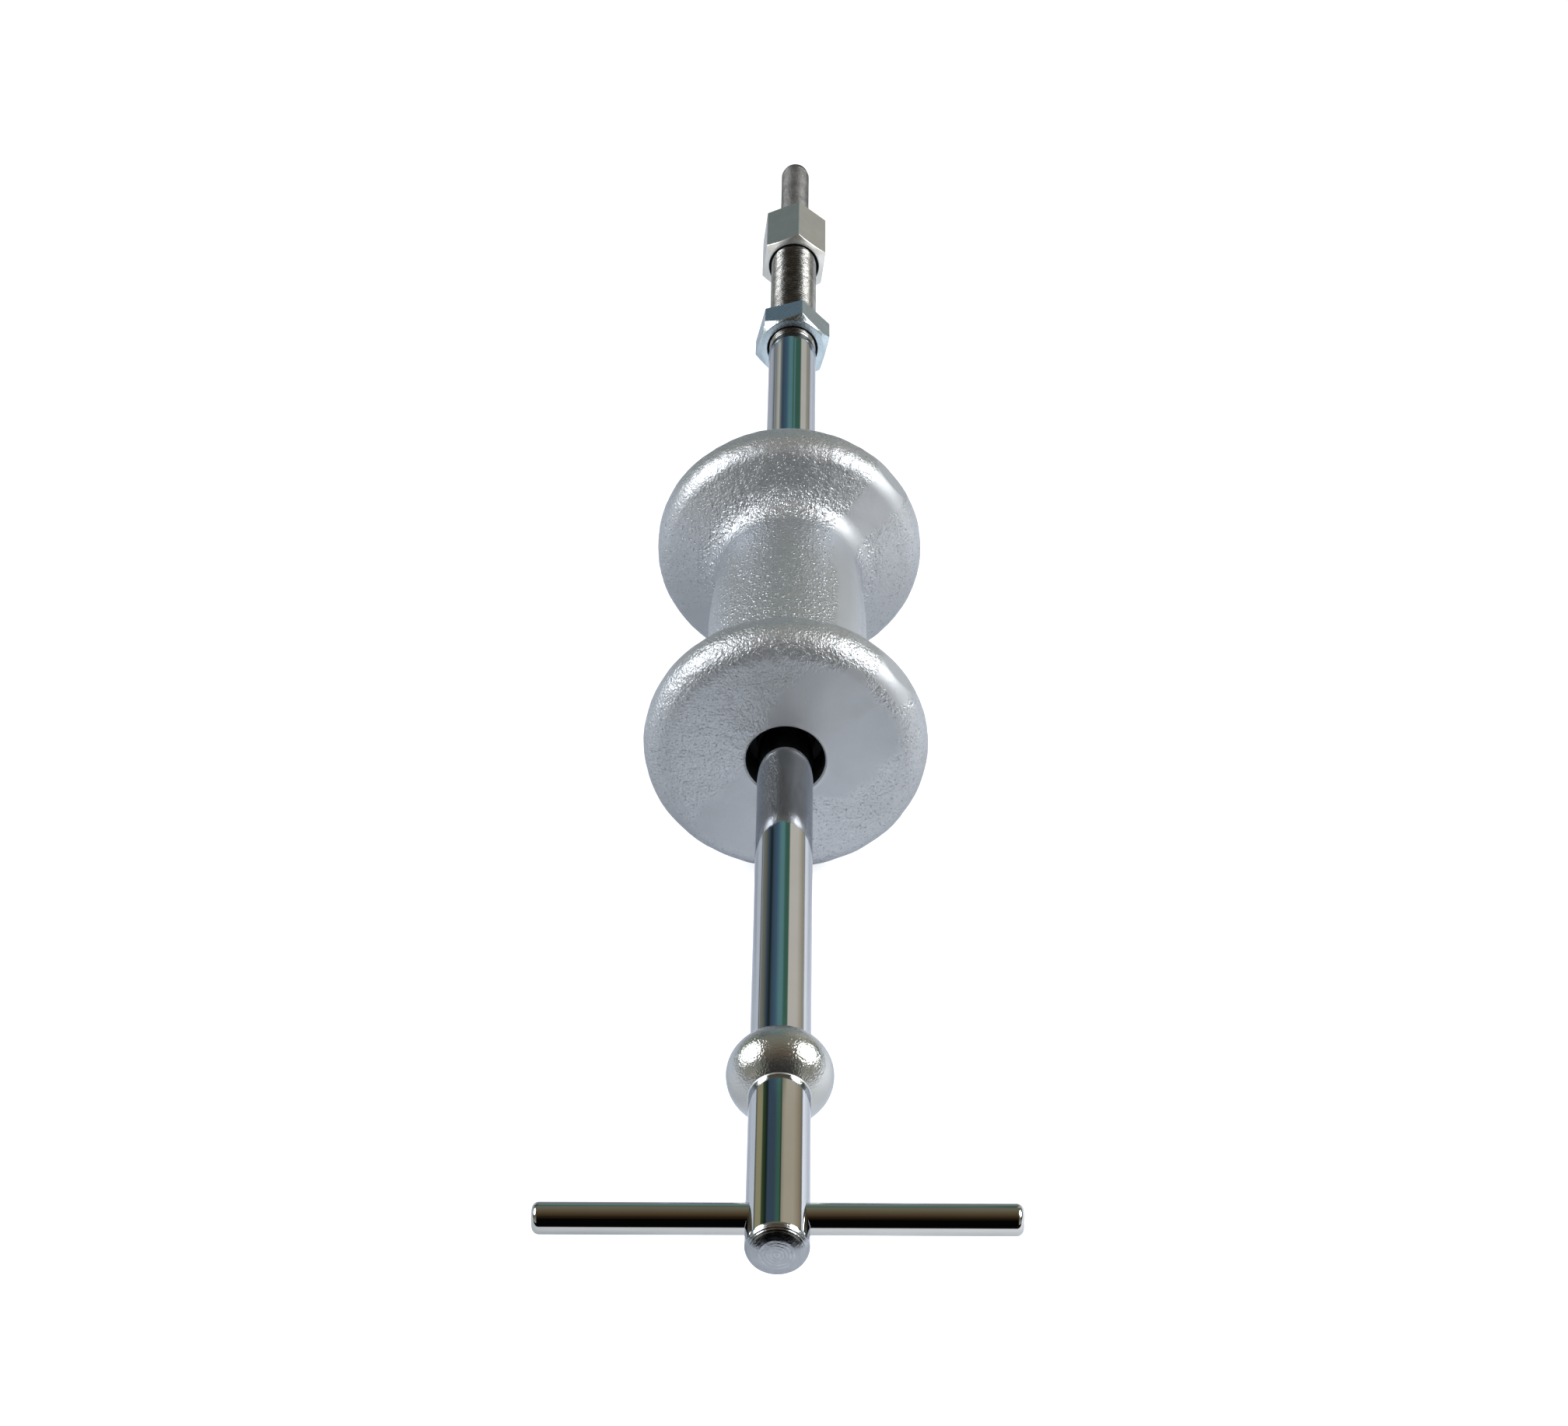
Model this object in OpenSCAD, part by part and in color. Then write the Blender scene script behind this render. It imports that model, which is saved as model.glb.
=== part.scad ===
// Slide hammer puller: a sliding weight on a chromed rod, with a cross handle at one end
// and a threaded adapter at the other. The rod lies along Y with its handle end at -Y, Z is up,
// and the weight's two flanges stand on the ground. The origin is under the middle of the tool.

/* [Rod] */
// Diameter of the plain rod that the weight slides on
rod_d = 16; // [14:0.1:18]
// Length of the plain rod, from its handle end to the start of its thread
rod_plain_l = 468; // [440:1:520]
// Length of the bevel on the rod's handle end
rod_bevel_l = 2.5; // [0.5:0.1:4]
// Diameter of the flat that this bevel leaves
rod_flat_d = 9; // [4:0.1:12]
// Pitch of the rod's thread
thread_pitch = 1.41; // [1:0.01:2]

/* [Tommy bar] */
// Diameter of the bar
bar_d = 8; // [6:0.1:9]
// Length of the bar
bar_l = 120; // [90:1:160]
// Radius of the rounding on the bar's ends
bar_round = 1.8; // [0.5:0.1:2.5]
// Distance of the bar's axis from the rod's handle end
bar_from_end = 13.4; // [11:0.1:20]
// Width of the bevel at the mouths of the bar's cross hole
hole_bevel = 1.2; // [0.4:0.1:1.6]

/* [Stop collar] */
// Largest diameter of the collar
collar_d = 28; // [24:0.5:34]
// Half of the collar's length, where its round would meet the rod
collar_half_l = 9; // [7:0.1:12]
// Distance of the collar's middle from the rod's handle end
collar_from_end = 70; // [50:1:90]
// Fillet radius on the collar's handle side
collar_near_fillet = 0.8; // [0.3:0.1:2]
// Fillet radius on the collar's weight side
collar_far_fillet = 2.6; // [0.5:0.1:4]

/* [Hammer weight] */
// Length of the weight
weight_l = 130.5; // [110:0.5:170]
// Distance from the collar's middle to the weight, as it is drawn
weight_from_collar = 147; // [110:1:200]
// Diameter of the flanges
flange_d = 82.5; // [72:0.5:95]
// Thickness of the flanges
flange_t = 18.4; // [17.5:0.1:24]
// Radius of the rounding on the flanges' rims
flange_round = 8.5; // [4:0.1:8.7]
// Diameter of the grip where it meets the flanges
neck_d = 44.6; // [36:0.1:46]
// Diameter of the grip's swell at its middle
grip_d = 48.2; // [46.5:0.1:56]
// Radius of the fillet between the grip and the flanges
neck_fillet = 8; // [3:0.5:9]
// Slope of the flanges' inner faces, in degrees
web_slope = 26.5; // [5:0.5:35]
// Diameter of the cored hole through the weight
core_d = 23; // [21:0.1:26]
// Depth of the flats ground on the rims along the casting's parting line
rim_flat = 0.6; // [0.2:0.1:1.5]
// Angle of the parting line above the tommy bar, in degrees
parting_angle = 37; // [0:1:90]

/* [Guide bushes] */
// Length of each bush
bush_l = 20; // [12:1:30]
// Depth of each bush behind the face of the weight
bush_recess = 12; // [9:0.5:20]

/* [Lock nut] */
// Width of the nut across its flats
nut_af = 22.8; // [20:0.1:27]
// Thickness of the nut
nut_t = 11.7; // [8:0.1:14]
// Depth of the bevel on the nut's corners
nut_bevel_l = 2.1; // [0.5:0.1:2.5]
// Turn of the nut from a corner straight up, in degrees
nut_turn = 15; // [0:1:59]
// Distance of the nut from the start of the thread
nut_from_thread = 5.7; // [1:0.1:40]

/* [Hex adapter] */
// Width of the adapter across its flats
adapter_af = 21; // [19.5:0.1:26]
// Length of the adapter's hexagon
adapter_l = 28; // [26:0.5:40]
// Depth of the bevel on the adapter's corners
adapter_bevel_l = 1.7; // [0.5:0.1:2.5]
// Turn of the adapter from a corner straight up, in degrees
adapter_turn = 8; // [0:1:59]
// Distance of the adapter from the start of the thread
adapter_from_thread = 69; // [60:0.5:100]
// Length of the rod's thread that is screwed into the adapter
thread_engaged_l = 15; // [10:0.5:15]

/* [Adapter stud] */
// Major diameter of the stud's thread
stud_d = 10; // [6:0.1:14]
// Length of the stud that stands out of the adapter
stud_free_l = 48; // [25:0.5:80]
// Length of the stud that is screwed into the adapter
stud_engaged_l = 10; // [6:0.5:10]
// Diameter of the tapped hole that holds the stud
stud_hole_d = 8.5; // [5:0.1:12]
// Bevel on the stud's ends
stud_bevel = 0.8; // [0.2:0.1:1.5]

/* [Hidden] */

// Gap all round between a screw or a bar and the hole that it turns or slides in
run_gap = 0.05;
// Gap all round between the rod and the bushes that slide on it
slide_gap = 0.08;
// How far the thread's crests lie under the surface of the plain rod
thread_step = 0.1;
// Bevel where the plain rod ends and the thread starts
rod_edge = 0.5;
// Length of the plain groove before the first turn of a thread
relief_l = 1;
// Bevel on the inner end of the rod's thread
thread_bevel = 1.2;
// Bevel at the mouths of the cored hole
core_bevel = 0.5;
// Width of the bevel at the mouths of the nut's hole
nut_mouth = 0.75;
// Width of the bevel at the mouth of the adapter's hole
adapter_mouth = 0.95;
// How far the bevel at the mouth of the tapped hole opens past the stud's thread
stud_mouth = 0.4;
// Gap behind the end of the rod in the adapter's hole
blind_gap = 1;
// Bevel on the edges of the bushes
bush_bevel = 0.6;
// Angles between the bevels' cones and the end faces of the hexagons
nut_bevel_angle = 40;
adapter_bevel_angle = 30;
// How far every cut runs past the surface that it opens
over = 1;
// Parts of the pitch that the crest and the root of the thread take, and its depth
crest_share = 0.125;
root_share = 0.167;
depth_share = 0.61;
// Steps in a quarter of a rounding and in the collar's round, and sides of the round solids
round_steps = 10;
collar_steps = 30;
round_sides = 96;

rod_r = rod_d / 2;
thread_r = rod_r - thread_step;
root_r = thread_r - depth_share * thread_pitch;
hole_r = bar_d / 2 + run_gap;
screw_hole_r = thread_r + run_gap;
flange_r = flange_d / 2;
neck_r = neck_d / 2;
core_r = core_d / 2;
stud_r = stud_d / 2;
// The tapped hole stays smaller than the stud's thread
stud_hole_r = min(stud_hole_d / 2, stud_r - stud_bevel / 2);
stud_mouth_l = stud_r + stud_mouth - stud_hole_r;
axis_h = flange_r;

weight_at = collar_from_end + weight_from_collar;
nut_at = rod_plain_l + nut_from_thread;
adapter_at = rod_plain_l + adapter_from_thread;
adapter_end = adapter_at + adapter_l;
rod_end = adapter_at + thread_engaged_l;
overall_l = adapter_end + stud_free_l;

// The inner faces are cones that touch the rims' roundings and the fillets at the grip
rim_r = flange_r - flange_round;
fillet_centre_r = neck_r + neck_fillet;
cone_span = flange_round + neck_fillet + (rim_r - fillet_centre_r) * sin(web_slope);
fillet_at = flange_t - flange_round + cone_span / cos(web_slope);
grip_half_l = weight_l / 2 - fillet_at;
swell = (grip_d - neck_d) / 2;
swell_r = (pow(grip_half_l, 2) + pow(swell, 2)) / (2 * swell);
swell_angle = asin(grip_half_l / swell_r);

// The collar's round, as an arc whose centre lies between the rod's axis and its surface
collar_rise = (collar_d - rod_d) / 2;
collar_round = (pow(collar_half_l, 2) + pow(collar_rise, 2)) / (2 * collar_rise);
collar_mid_r = collar_d / 2 - collar_round;

// Points on an arc round a centre, from one angle to another
function arc(centre, r, from, to, steps = round_steps) =
    [for (i = [0:steps]) let (a = from + (to - from) * i / steps) centre + r * [cos(a), sin(a)]];

// A place along the rod, measured from its handle end, with local Z along the rod
module along(distance) {
    translate([0, distance - overall_l / 2, axis_h]) rotate([-90, 0, 0]) children();
}

// A ring or a shaft turned from an outline of radius and distance
module turned(outline) {
    rotate_extrude($fn = round_sides) polygon(outline);
}

// A hole with bevelled mouths, from local zero to a length
module bevelled_hole(r, length, bevel) {
    translate([0, 0, -over]) cylinder(r = r, h = length + 2 * over, $fn = round_sides);
    for (end = [0, 1]) {
        translate([0, 0, end * length]) mirror([0, 0, end]) translate([0, 0, -over])
            cylinder(r1 = r + bevel + over, r2 = r, h = bevel + over, $fn = round_sides);
    }
}

// A hexagon bar whose handle end is bevelled by a cone, which runs on past the corners
module hex_bar(af, length, bevel_l, bevel_angle, turn) {
    corner_r = af / (2 * cos(30));
    cone_r = corner_r - bevel_l / tan(bevel_angle);
    cone_l = bevel_l + over * tan(bevel_angle);
    intersection() {
        rotate([0, 0, turn - 90]) cylinder(r = corner_r, h = length, $fn = 6);
        turned([[0, 0], [cone_r, 0], [corner_r + over, cone_l],
                [corner_r + over, length + over], [0, length + over]]);
    }
}

// One turn of the thread after the other, as rings of the thread's own section
function thread_outline(from, turns) =
    [for (i = [0:turns - 1]) let (s = from + i * thread_pitch, flank = (1 - crest_share - root_share) / 2)
        each [[root_r, s], [thread_r, s + flank * thread_pitch],
              [thread_r, s + (flank + crest_share) * thread_pitch],
              [root_r, s + (2 * flank + crest_share) * thread_pitch]]];

module slide_rod() {
    thread_from = rod_plain_l + relief_l;
    turns = floor((rod_end - thread_bevel - thread_from) / thread_pitch);
    color("lightsteelblue") difference() {
        along(0) turned(concat(
            [[0, 0], [rod_flat_d / 2, 0], [rod_r, rod_bevel_l], [rod_r, rod_plain_l - rod_edge],
             [rod_r - rod_edge, rod_plain_l], [root_r, rod_plain_l]],
            thread_outline(thread_from, turns),
            [[root_r, rod_end - thread_bevel], [root_r - thread_bevel / 2, rod_end], [0, rod_end]]));
        translate([-rod_r, bar_from_end - overall_l / 2, axis_h]) rotate([0, 90, 0])
            bevelled_hole(hole_r, rod_d, hole_bevel);
    }
}

module stop_collar() {
    // Where the fillets' centres stand, so that they touch both the round and the rod
    function fillet_at(f) = sqrt(pow(collar_round + f, 2) - pow(rod_r + f - collar_mid_r, 2));
    // Angle on the round where a fillet meets it, from the rod's direction
    function fillet_angle(f) = acos(fillet_at(f) / (collar_round + f));
    near = collar_near_fillet;
    far = collar_far_fillet;
    color("gainsboro") along(collar_from_end) turned(concat(
        arc([rod_r + near, -fillet_at(near)], near, 180, 90 + fillet_angle(near)),
        arc([collar_mid_r, 0], collar_round, fillet_angle(near) - 90, 90 - fillet_angle(far), collar_steps),
        arc([rod_r + far, fillet_at(far)], far, 270 - fillet_angle(far), 180)));
}

module tommy_bar() {
    edge_r = bar_d / 2 - bar_round;
    color("darkkhaki") translate([-bar_l / 2, bar_from_end - overall_l / 2, axis_h]) rotate([0, 90, 0])
        turned(concat(
            [[0, 0]], arc([edge_r, bar_round], bar_round, -90, 0),
            arc([edge_r, bar_l - bar_round], bar_round, 0, 90), [[0, bar_l]]));
}

module hammer_weight() {
    mid = weight_l / 2;
    // Half of the outline, from the face to the middle of the grip, and its mirror image
    half = concat(
        [[0, 0]], arc([rim_r, flange_round], flange_round, -90, 0),
        arc([rim_r, flange_t - flange_round], flange_round, 0, 90 - web_slope),
        arc([fillet_centre_r, fillet_at], neck_fillet, 270 - web_slope, 180),
        arc([grip_d / 2 - swell_r, mid], swell_r, -swell_angle, 0));
    other = [for (i = [len(half) - 1:-1:0]) [half[i][0], weight_l - half[i][1]]];
    color("silver") along(weight_at) difference() {
        turned(concat(half, other));
        bevelled_hole(core_r, weight_l, core_bevel);
        for (side = [0, 180]) {
            rotate([0, 0, side - parting_angle]) translate([flange_r - rim_flat, -flange_r, -over])
                cube([rim_flat + over, flange_d, weight_l + 2 * over]);
        }
    }
}

module guide_bushes() {
    color("dimgray") for (from = [bush_recess, weight_l - bush_recess - bush_l]) {
        along(weight_at + from) difference() {
            turned([[0, 0], [core_r - bush_bevel, 0], [core_r, bush_bevel], [core_r, bush_l - bush_bevel],
                    [core_r - bush_bevel, bush_l], [0, bush_l]]);
            bevelled_hole(rod_r + slide_gap, bush_l, bush_bevel);
        }
    }
}

module lock_nut() {
    color("lightblue") along(nut_at) difference() {
        hex_bar(nut_af, nut_t, nut_bevel_l, nut_bevel_angle, nut_turn);
        bevelled_hole(screw_hole_r, nut_t, nut_mouth);
    }
}

module hex_adapter() {
    hole_l = thread_engaged_l + blind_gap;
    color("darkgray") along(adapter_at) difference() {
        hex_bar(adapter_af, adapter_l, adapter_bevel_l, adapter_bevel_angle, adapter_turn);
        intersection() {
            bevelled_hole(screw_hole_r, adapter_l + adapter_mouth + over, adapter_mouth);
            translate([0, 0, -over]) cylinder(r = adapter_af, h = hole_l + over, $fn = round_sides);
        }
        translate([0, 0, adapter_l - stud_engaged_l]) turned([
            [0, 0], [stud_hole_r, 0], [stud_hole_r, stud_engaged_l - stud_mouth_l],
            [stud_hole_r + stud_mouth_l + over, stud_engaged_l + over], [0, stud_engaged_l + over]]);
    }
}

module adapter_stud() {
    stud_l = stud_engaged_l + stud_free_l;
    thread_from = stud_engaged_l + relief_l;
    color("gray") along(adapter_end - stud_engaged_l) turned([
        [0, 0], [stud_hole_r - stud_bevel, 0], [stud_hole_r, stud_bevel], [stud_hole_r, thread_from],
        [stud_r, thread_from], [stud_r, stud_l - stud_bevel], [stud_r - stud_bevel, stud_l], [0, stud_l]]);
}

slide_rod();
stop_collar();
tommy_bar();
hammer_weight();
guide_bushes();
lock_nut();
hex_adapter();
adapter_stud();
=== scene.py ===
import math

import bpy
import numpy as np
from mathutils import Matrix


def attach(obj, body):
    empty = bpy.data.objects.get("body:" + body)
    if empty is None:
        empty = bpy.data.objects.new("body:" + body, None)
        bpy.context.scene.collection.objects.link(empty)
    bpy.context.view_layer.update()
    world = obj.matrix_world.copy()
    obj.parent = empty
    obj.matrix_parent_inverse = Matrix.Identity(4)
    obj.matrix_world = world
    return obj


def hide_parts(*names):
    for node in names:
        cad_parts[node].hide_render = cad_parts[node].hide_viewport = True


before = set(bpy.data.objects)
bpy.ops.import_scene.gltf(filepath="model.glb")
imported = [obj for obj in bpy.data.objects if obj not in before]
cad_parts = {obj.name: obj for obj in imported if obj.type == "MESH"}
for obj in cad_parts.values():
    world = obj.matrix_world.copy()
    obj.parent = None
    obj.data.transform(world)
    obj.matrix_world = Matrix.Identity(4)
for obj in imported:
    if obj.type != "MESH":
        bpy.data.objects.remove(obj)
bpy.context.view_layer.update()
bpy.context.scene.view_settings.view_transform = "Standard"

# Shapes are in millimetres until mesh_object() turns them into metres. The sizes repeat part.scad's.
# Places along the rod, such as the names in _Y, run from the handle end (-) to the stud (+).
MM = 0.001
AXIS_H = 41.25                  # the rod's axis above the ground
ROD_R = 8.0
HANDLE_END = -306.5
BEVEL_FLAT_R = 4.5              # the flat that the bevel leaves on the handle end
BAR_Y = -293.1
COLLAR_Y = -236.5
WEIGHT_Y = -89.5
WEIGHT_L = 130.5
WEIGHT_HOLE_R = 11.5
THREAD_Y = 161.5
THREAD_NECK = 4.0               # the bare neck before the thread
THREAD_PITCH = 1.41             # 18 threads an inch
NUT_Y = 167.2
NUT_L = 11.7
ADAPTER_Y = 230.5
ADAPTER_L = 28.0
ROD_END = 245.5
STUD_TIP = 306.5
PARTING = math.radians(37)      # how far the casting's parting plane is turned from level


# ---------- camera ----------

def add_camera():
    """The photograph's camera, from its fitted focal length, turns and place."""
    image_w = 2016
    focal_px = 5114.75
    off_middle_x, off_middle_y = 0.5, -0.5
    sensor_w = 36
    place = (0.010523, -1.04414, 0.66701)
    yaw, pitch, roll = -0.011512, 0.568037, -0.003342
    cy, sy = math.cos(yaw), math.sin(yaw)
    cp, sp = math.cos(pitch), math.sin(pitch)
    cr, sr = math.cos(roll), math.sin(roll)
    turn = np.array([[cy, -sy, 0], [sy, cy, 0], [0, 0, 1]])
    tilt = np.array([[1, 0, 0], [0, cp, -sp], [0, sp, cp]])
    level = np.array([[1, 0, 0], [0, 0, -1], [0, 1, 0]])
    lean = np.array([[cr, -sr, 0], [sr, cr, 0], [0, 0, 1]])
    right, down, ahead = lean @ level @ tilt @ turn
    data = bpy.data.cameras.new("photo_camera")
    data.sensor_fit = "HORIZONTAL"
    data.sensor_width = sensor_w
    data.lens = focal_px / image_w * sensor_w
    data.shift_x = off_middle_x / image_w
    data.shift_y = off_middle_y / image_w
    data.clip_start, data.clip_end = 0.01, 50
    camera = bpy.data.objects.new("photo_camera", data)
    bpy.context.scene.collection.objects.link(camera)
    m = Matrix.Identity(4)
    for row in range(3):
        m[row][0], m[row][1], m[row][2], m[row][3] = right[row], -down[row], -ahead[row], place[row]
    camera.matrix_world = m
    bpy.context.scene.camera = camera


# ---------- numbers ----------

def linear(r, g, b, gain=1.0):
    """A screen colour from 0 to 255 as light, with alpha."""
    def one(v):
        v = v / 255
        return (v / 12.92 if v <= 0.04045 else ((v + 0.055) / 1.055) ** 2.4) * gain
    return (one(r), one(g), one(b), 1.0)


def lattice_noise(p, size, seed):
    """Smooth noise from -1 to 1 at points p, with features of a size in millimetres."""
    table = np.random.default_rng(seed).random((32, 32, 32)) * 2 - 1
    q = p / size + 500.0
    i = np.floor(q).astype(int)
    f = q - i
    f = f * f * (3 - 2 * f)
    out = 0.0
    for dx in (0, 1):
        for dy in (0, 1):
            for dz in (0, 1):
                w = (np.where(dx, f[..., 0], 1 - f[..., 0]) * np.where(dy, f[..., 1], 1 - f[..., 1])
                     * np.where(dz, f[..., 2], 1 - f[..., 2]))
                out = out + w * table[(i[..., 0] + dx) % 32, (i[..., 1] + dy) % 32, (i[..., 2] + dz) % 32]
    return out


def smooth(edge0, edge1, x):
    """From 0 at one edge to 1 at the other, with a soft start and end."""
    t = np.clip((x - edge0) / (edge1 - edge0), 0, 1)
    return t * t * (3 - 2 * t)


def soft_min(a, b, k):
    """The smaller of two values, with the corner between them rounded over k."""
    h = np.clip(0.5 + 0.5 * (b - a) / k, 0, 1)
    return b + (a - b) * h - k * h * (1 - h)


def spaced(points, step):
    """Points on a broken line, no further apart than step, with its corners kept."""
    out = [points[0]]
    for a, b in zip(points[:-1], points[1:]):
        n = max(1, int(math.ceil(math.dist(a, b) / step)))
        out += [tuple(np.array(a) + (np.array(b) - np.array(a)) * k / n) for k in range(1, n + 1)]
    return out


def arc(cr, cy, r, start, end, n):
    """Points on an arc round (cr, cy), in n steps between two turns in degrees."""
    turns = [math.radians(start + (end - start) * k / n) for k in range(n + 1)]
    return [(cr + r * math.cos(a), cy + r * math.sin(a)) for a in turns]


# ---------- meshes ----------

def mesh_object(name, verts, faces, body, replaced=(), sharp=35):
    """A smooth piece that rides on a body, with its edges kept sharp past an angle in degrees."""
    mesh = bpy.data.meshes.new(name)
    mesh.from_pydata((np.asarray(verts, float) * MM).tolist(), [], faces)
    mesh.update()
    mesh.shade_smooth()
    if sharp:
        mesh.set_sharp_from_angle(angle=math.radians(sharp))
    obj = bpy.data.objects.new(name, mesh)
    bpy.context.scene.collection.objects.link(obj)
    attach(obj, body)
    if replaced:
        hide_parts(*replaced)
    return obj


def ring_faces(rows, cols, caps=(False, False)):
    """Faces between rings of cols points each, and across the first and last ring where caps say so."""
    faces = []
    for j in range(rows - 1):
        a, b = j * cols, (j + 1) * cols
        faces += [(a + i, a + (i + 1) % cols, b + (i + 1) % cols, b + i) for i in range(cols)]
    if caps[0]:
        faces.append(tuple(range(cols - 1, -1, -1)))
    if caps[1]:
        faces.append(tuple((rows - 1) * cols + i for i in range(cols)))
    return faces


def angles(cols):
    """The turns of cols places round the rod, evenly spaced."""
    return np.linspace(0, 2 * math.pi, cols, endpoint=False)


def around_rod(r, y, theta):
    """Places at a radius and a distance along the rod, theta turning from straight up to +X."""
    return np.stack([r * np.sin(theta), y + 0 * r, AXIS_H + r * np.cos(theta)], axis=-1)


def lathe(outline, cols):
    """Vertices of an outline of (radius, distance along the rod), turned about the rod's axis."""
    r = np.array([p[0] for p in outline])[:, None]
    y = np.array([p[1] for p in outline])[:, None]
    return around_rod(r + 0 * angles(cols), y + 0 * angles(cols), angles(cols)[None, :])


def place_on_rod(poly):
    """A face's distance from the rod's axis and its place along the rod, in millimetres."""
    c = poly.center / MM
    return math.hypot(c.x, c.z - AXIS_H), c.y


def radial_normals(obj, low_y, high_y):
    """Exact normals on the rod's round, so that its mirror shows no facets after the hole is cut."""
    mesh = obj.data
    normals = np.empty(len(mesh.loops) * 3)
    mesh.corner_normals.foreach_get("vector", normals)
    normals = normals.reshape(-1, 3)
    co = np.empty(len(mesh.vertices) * 3)
    mesh.vertices.foreach_get("co", co)
    co = co.reshape(-1, 3) / MM
    near = 0.01
    for poly in mesh.polygons:
        loops = range(poly.loop_start, poly.loop_start + poly.loop_total)
        ids = [mesh.loops[k].vertex_index for k in loops]
        p = co[ids]
        r = np.hypot(p[:, 0], p[:, 2] - AXIS_H)
        on_round = abs(r - ROD_R).max() < near
        if on_round and p[:, 1].min() >= low_y - near and p[:, 1].max() <= high_y + near:
            for k, q, rr in zip(loops, p, r):
                normals[k] = (q[0] / rr, 0, (q[2] - AXIS_H) / rr)
    mesh.normals_split_custom_set(normals.tolist())


# ---------- materials ----------

class Nodes:
    """A material's node tree, with short calls for the nodes that it needs.

    The scales of its noises are in features a metre: 1000 gives features of about 1 mm.
    """

    def __init__(self, name):
        self.material = bpy.data.materials.new(name)
        self.material.use_nodes = True
        self.tree = self.material.node_tree
        self.bsdf = self.tree.nodes["Principled BSDF"]
        self.coords = self.add("ShaderNodeTexCoord").outputs["Object"]

    def add(self, kind, **values):
        """A new node. Names that start with in_ set its inputs, the others its own settings."""
        node = self.tree.nodes.new(kind)
        for key, value in values.items():
            if key.startswith("in_"):
                node.inputs[key[3:].replace("_", " ")].default_value = value
            else:
                setattr(node, key, value)
        return node

    def join(self, out, socket):
        self.tree.links.new(out, socket)

    def noise(self, scale, detail=2.0, roughness=0.5, stretch=None):
        node = self.add("ShaderNodeTexNoise", in_Scale=scale, in_Detail=detail, in_Roughness=roughness)
        source = self.coords
        if stretch:
            mapping = self.add("ShaderNodeMapping")
            mapping.inputs["Scale"].default_value = stretch
            self.join(self.coords, mapping.inputs["Vector"])
            source = mapping.outputs["Vector"]
        self.join(source, node.inputs["Vector"])
        return node.outputs["Fac"]

    def pebbles(self, scale):
        """Rounded bumps, 0 in the creases and 1 on the tops."""
        node = self.add("ShaderNodeTexVoronoi", feature="SMOOTH_F1", in_Scale=scale, in_Smoothness=1.0)
        self.join(self.coords, node.inputs["Vector"])
        return self.math("SUBTRACT", 1.0, node.outputs["Distance"])

    def dots(self, scale):
        """Separate raised dots, 1 on their tops and 0 between them."""
        node = self.add("ShaderNodeTexVoronoi", feature="F1", in_Scale=scale)
        self.join(self.coords, node.inputs["Vector"])
        return self.spread(node.outputs["Distance"], 1.0, 0.0, 0.08, 0.42)

    def math(self, operation, a, b=0.0):
        node = self.add("ShaderNodeMath", operation=operation)
        for socket, value in zip(node.inputs, (a, b)):
            if isinstance(value, (int, float)):
                socket.default_value = value
            else:
                self.join(value, socket)
        return node.outputs[0]

    def times(self, a, b):
        return self.math("MULTIPLY", a, b)

    def spread(self, value, low, high, from_low=0.0, from_high=1.0):
        """From low to high as the value goes from from_low to from_high."""
        node = self.add("ShaderNodeMapRange")
        for key, v in (("From Min", from_low), ("From Max", from_high), ("To Min", low), ("To Max", high)):
            node.inputs[key].default_value = v
        self.join(value, node.inputs["Value"])
        return node.outputs["Result"]

    def mix(self, factor, a, b):
        """From colour a to colour b as the factor goes from 0 to 1."""
        node = self.add("ShaderNodeMix", data_type="RGBA")
        self.join(factor, node.inputs["Factor"])
        for socket, value in ((node.inputs[6], a), (node.inputs[7], b)):
            if isinstance(value, tuple):
                socket.default_value = value
            else:
                self.join(value, socket)
        return node.outputs[2]

    def attribute(self, name):
        return self.add("ShaderNodeAttribute", attribute_name=name).outputs["Fac"]

    def bump(self, height, distance, strength=1.0, under=None):
        """A normal raised by height, distance metres at most, on top of the normal under it."""
        node = self.add("ShaderNodeBump", in_Distance=distance)
        if isinstance(strength, float):
            node.inputs["Strength"].default_value = strength
        else:
            self.join(strength, node.inputs["Strength"])
        self.join(height, node.inputs["Height"])
        if under is not None:
            self.join(under, node.inputs["Normal"])
        return node.outputs["Normal"]

    def finish(self, color, roughness, normal=None, metallic=1.0):
        cool_edge = (0.72, 0.75, 0.82, 1.0)
        inputs = self.bsdf.inputs
        inputs["Metallic"].default_value = metallic
        inputs["Specular Tint"].default_value = cool_edge
        for socket, value in ((inputs["Base Color"], color), (inputs["Roughness"], roughness)):
            if isinstance(value, (tuple, float)):
                socket.default_value = value
            else:
                self.join(value, socket)
        if normal is not None:
            self.join(normal, inputs["Normal"])
        return self.material


def chrome_material(name, tone, grain, grain_size, rough=0.03, scratch=(1.0, 0.06, 1.0), metallic=1.0):
    """Bright chrome: clouded tone, fine polishing lines and a faint orange peel.

    The peel is grain millimetres deep, in features of grain_size millimetres.
    """
    n = Nodes(name)
    cloud = n.noise(90.0, 3.0)
    lines = n.noise(1400.0, 2.0, 0.6, stretch=scratch)
    dull_tone = tuple(v * 0.96 for v in tone[:3]) + (1.0,)
    color = n.mix(n.spread(cloud, 0.0, 1.0, 0.3, 0.7), dull_tone, tone)
    roughness = n.spread(lines, rough, rough + 0.05, 0.35, 0.8)
    peel = n.noise(1000.0 / grain_size, 2.0)
    normal = n.bump(peel, grain * MM, under=n.bump(lines, 0.0006 * MM))
    return n.finish(color, roughness, normal, metallic)


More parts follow.
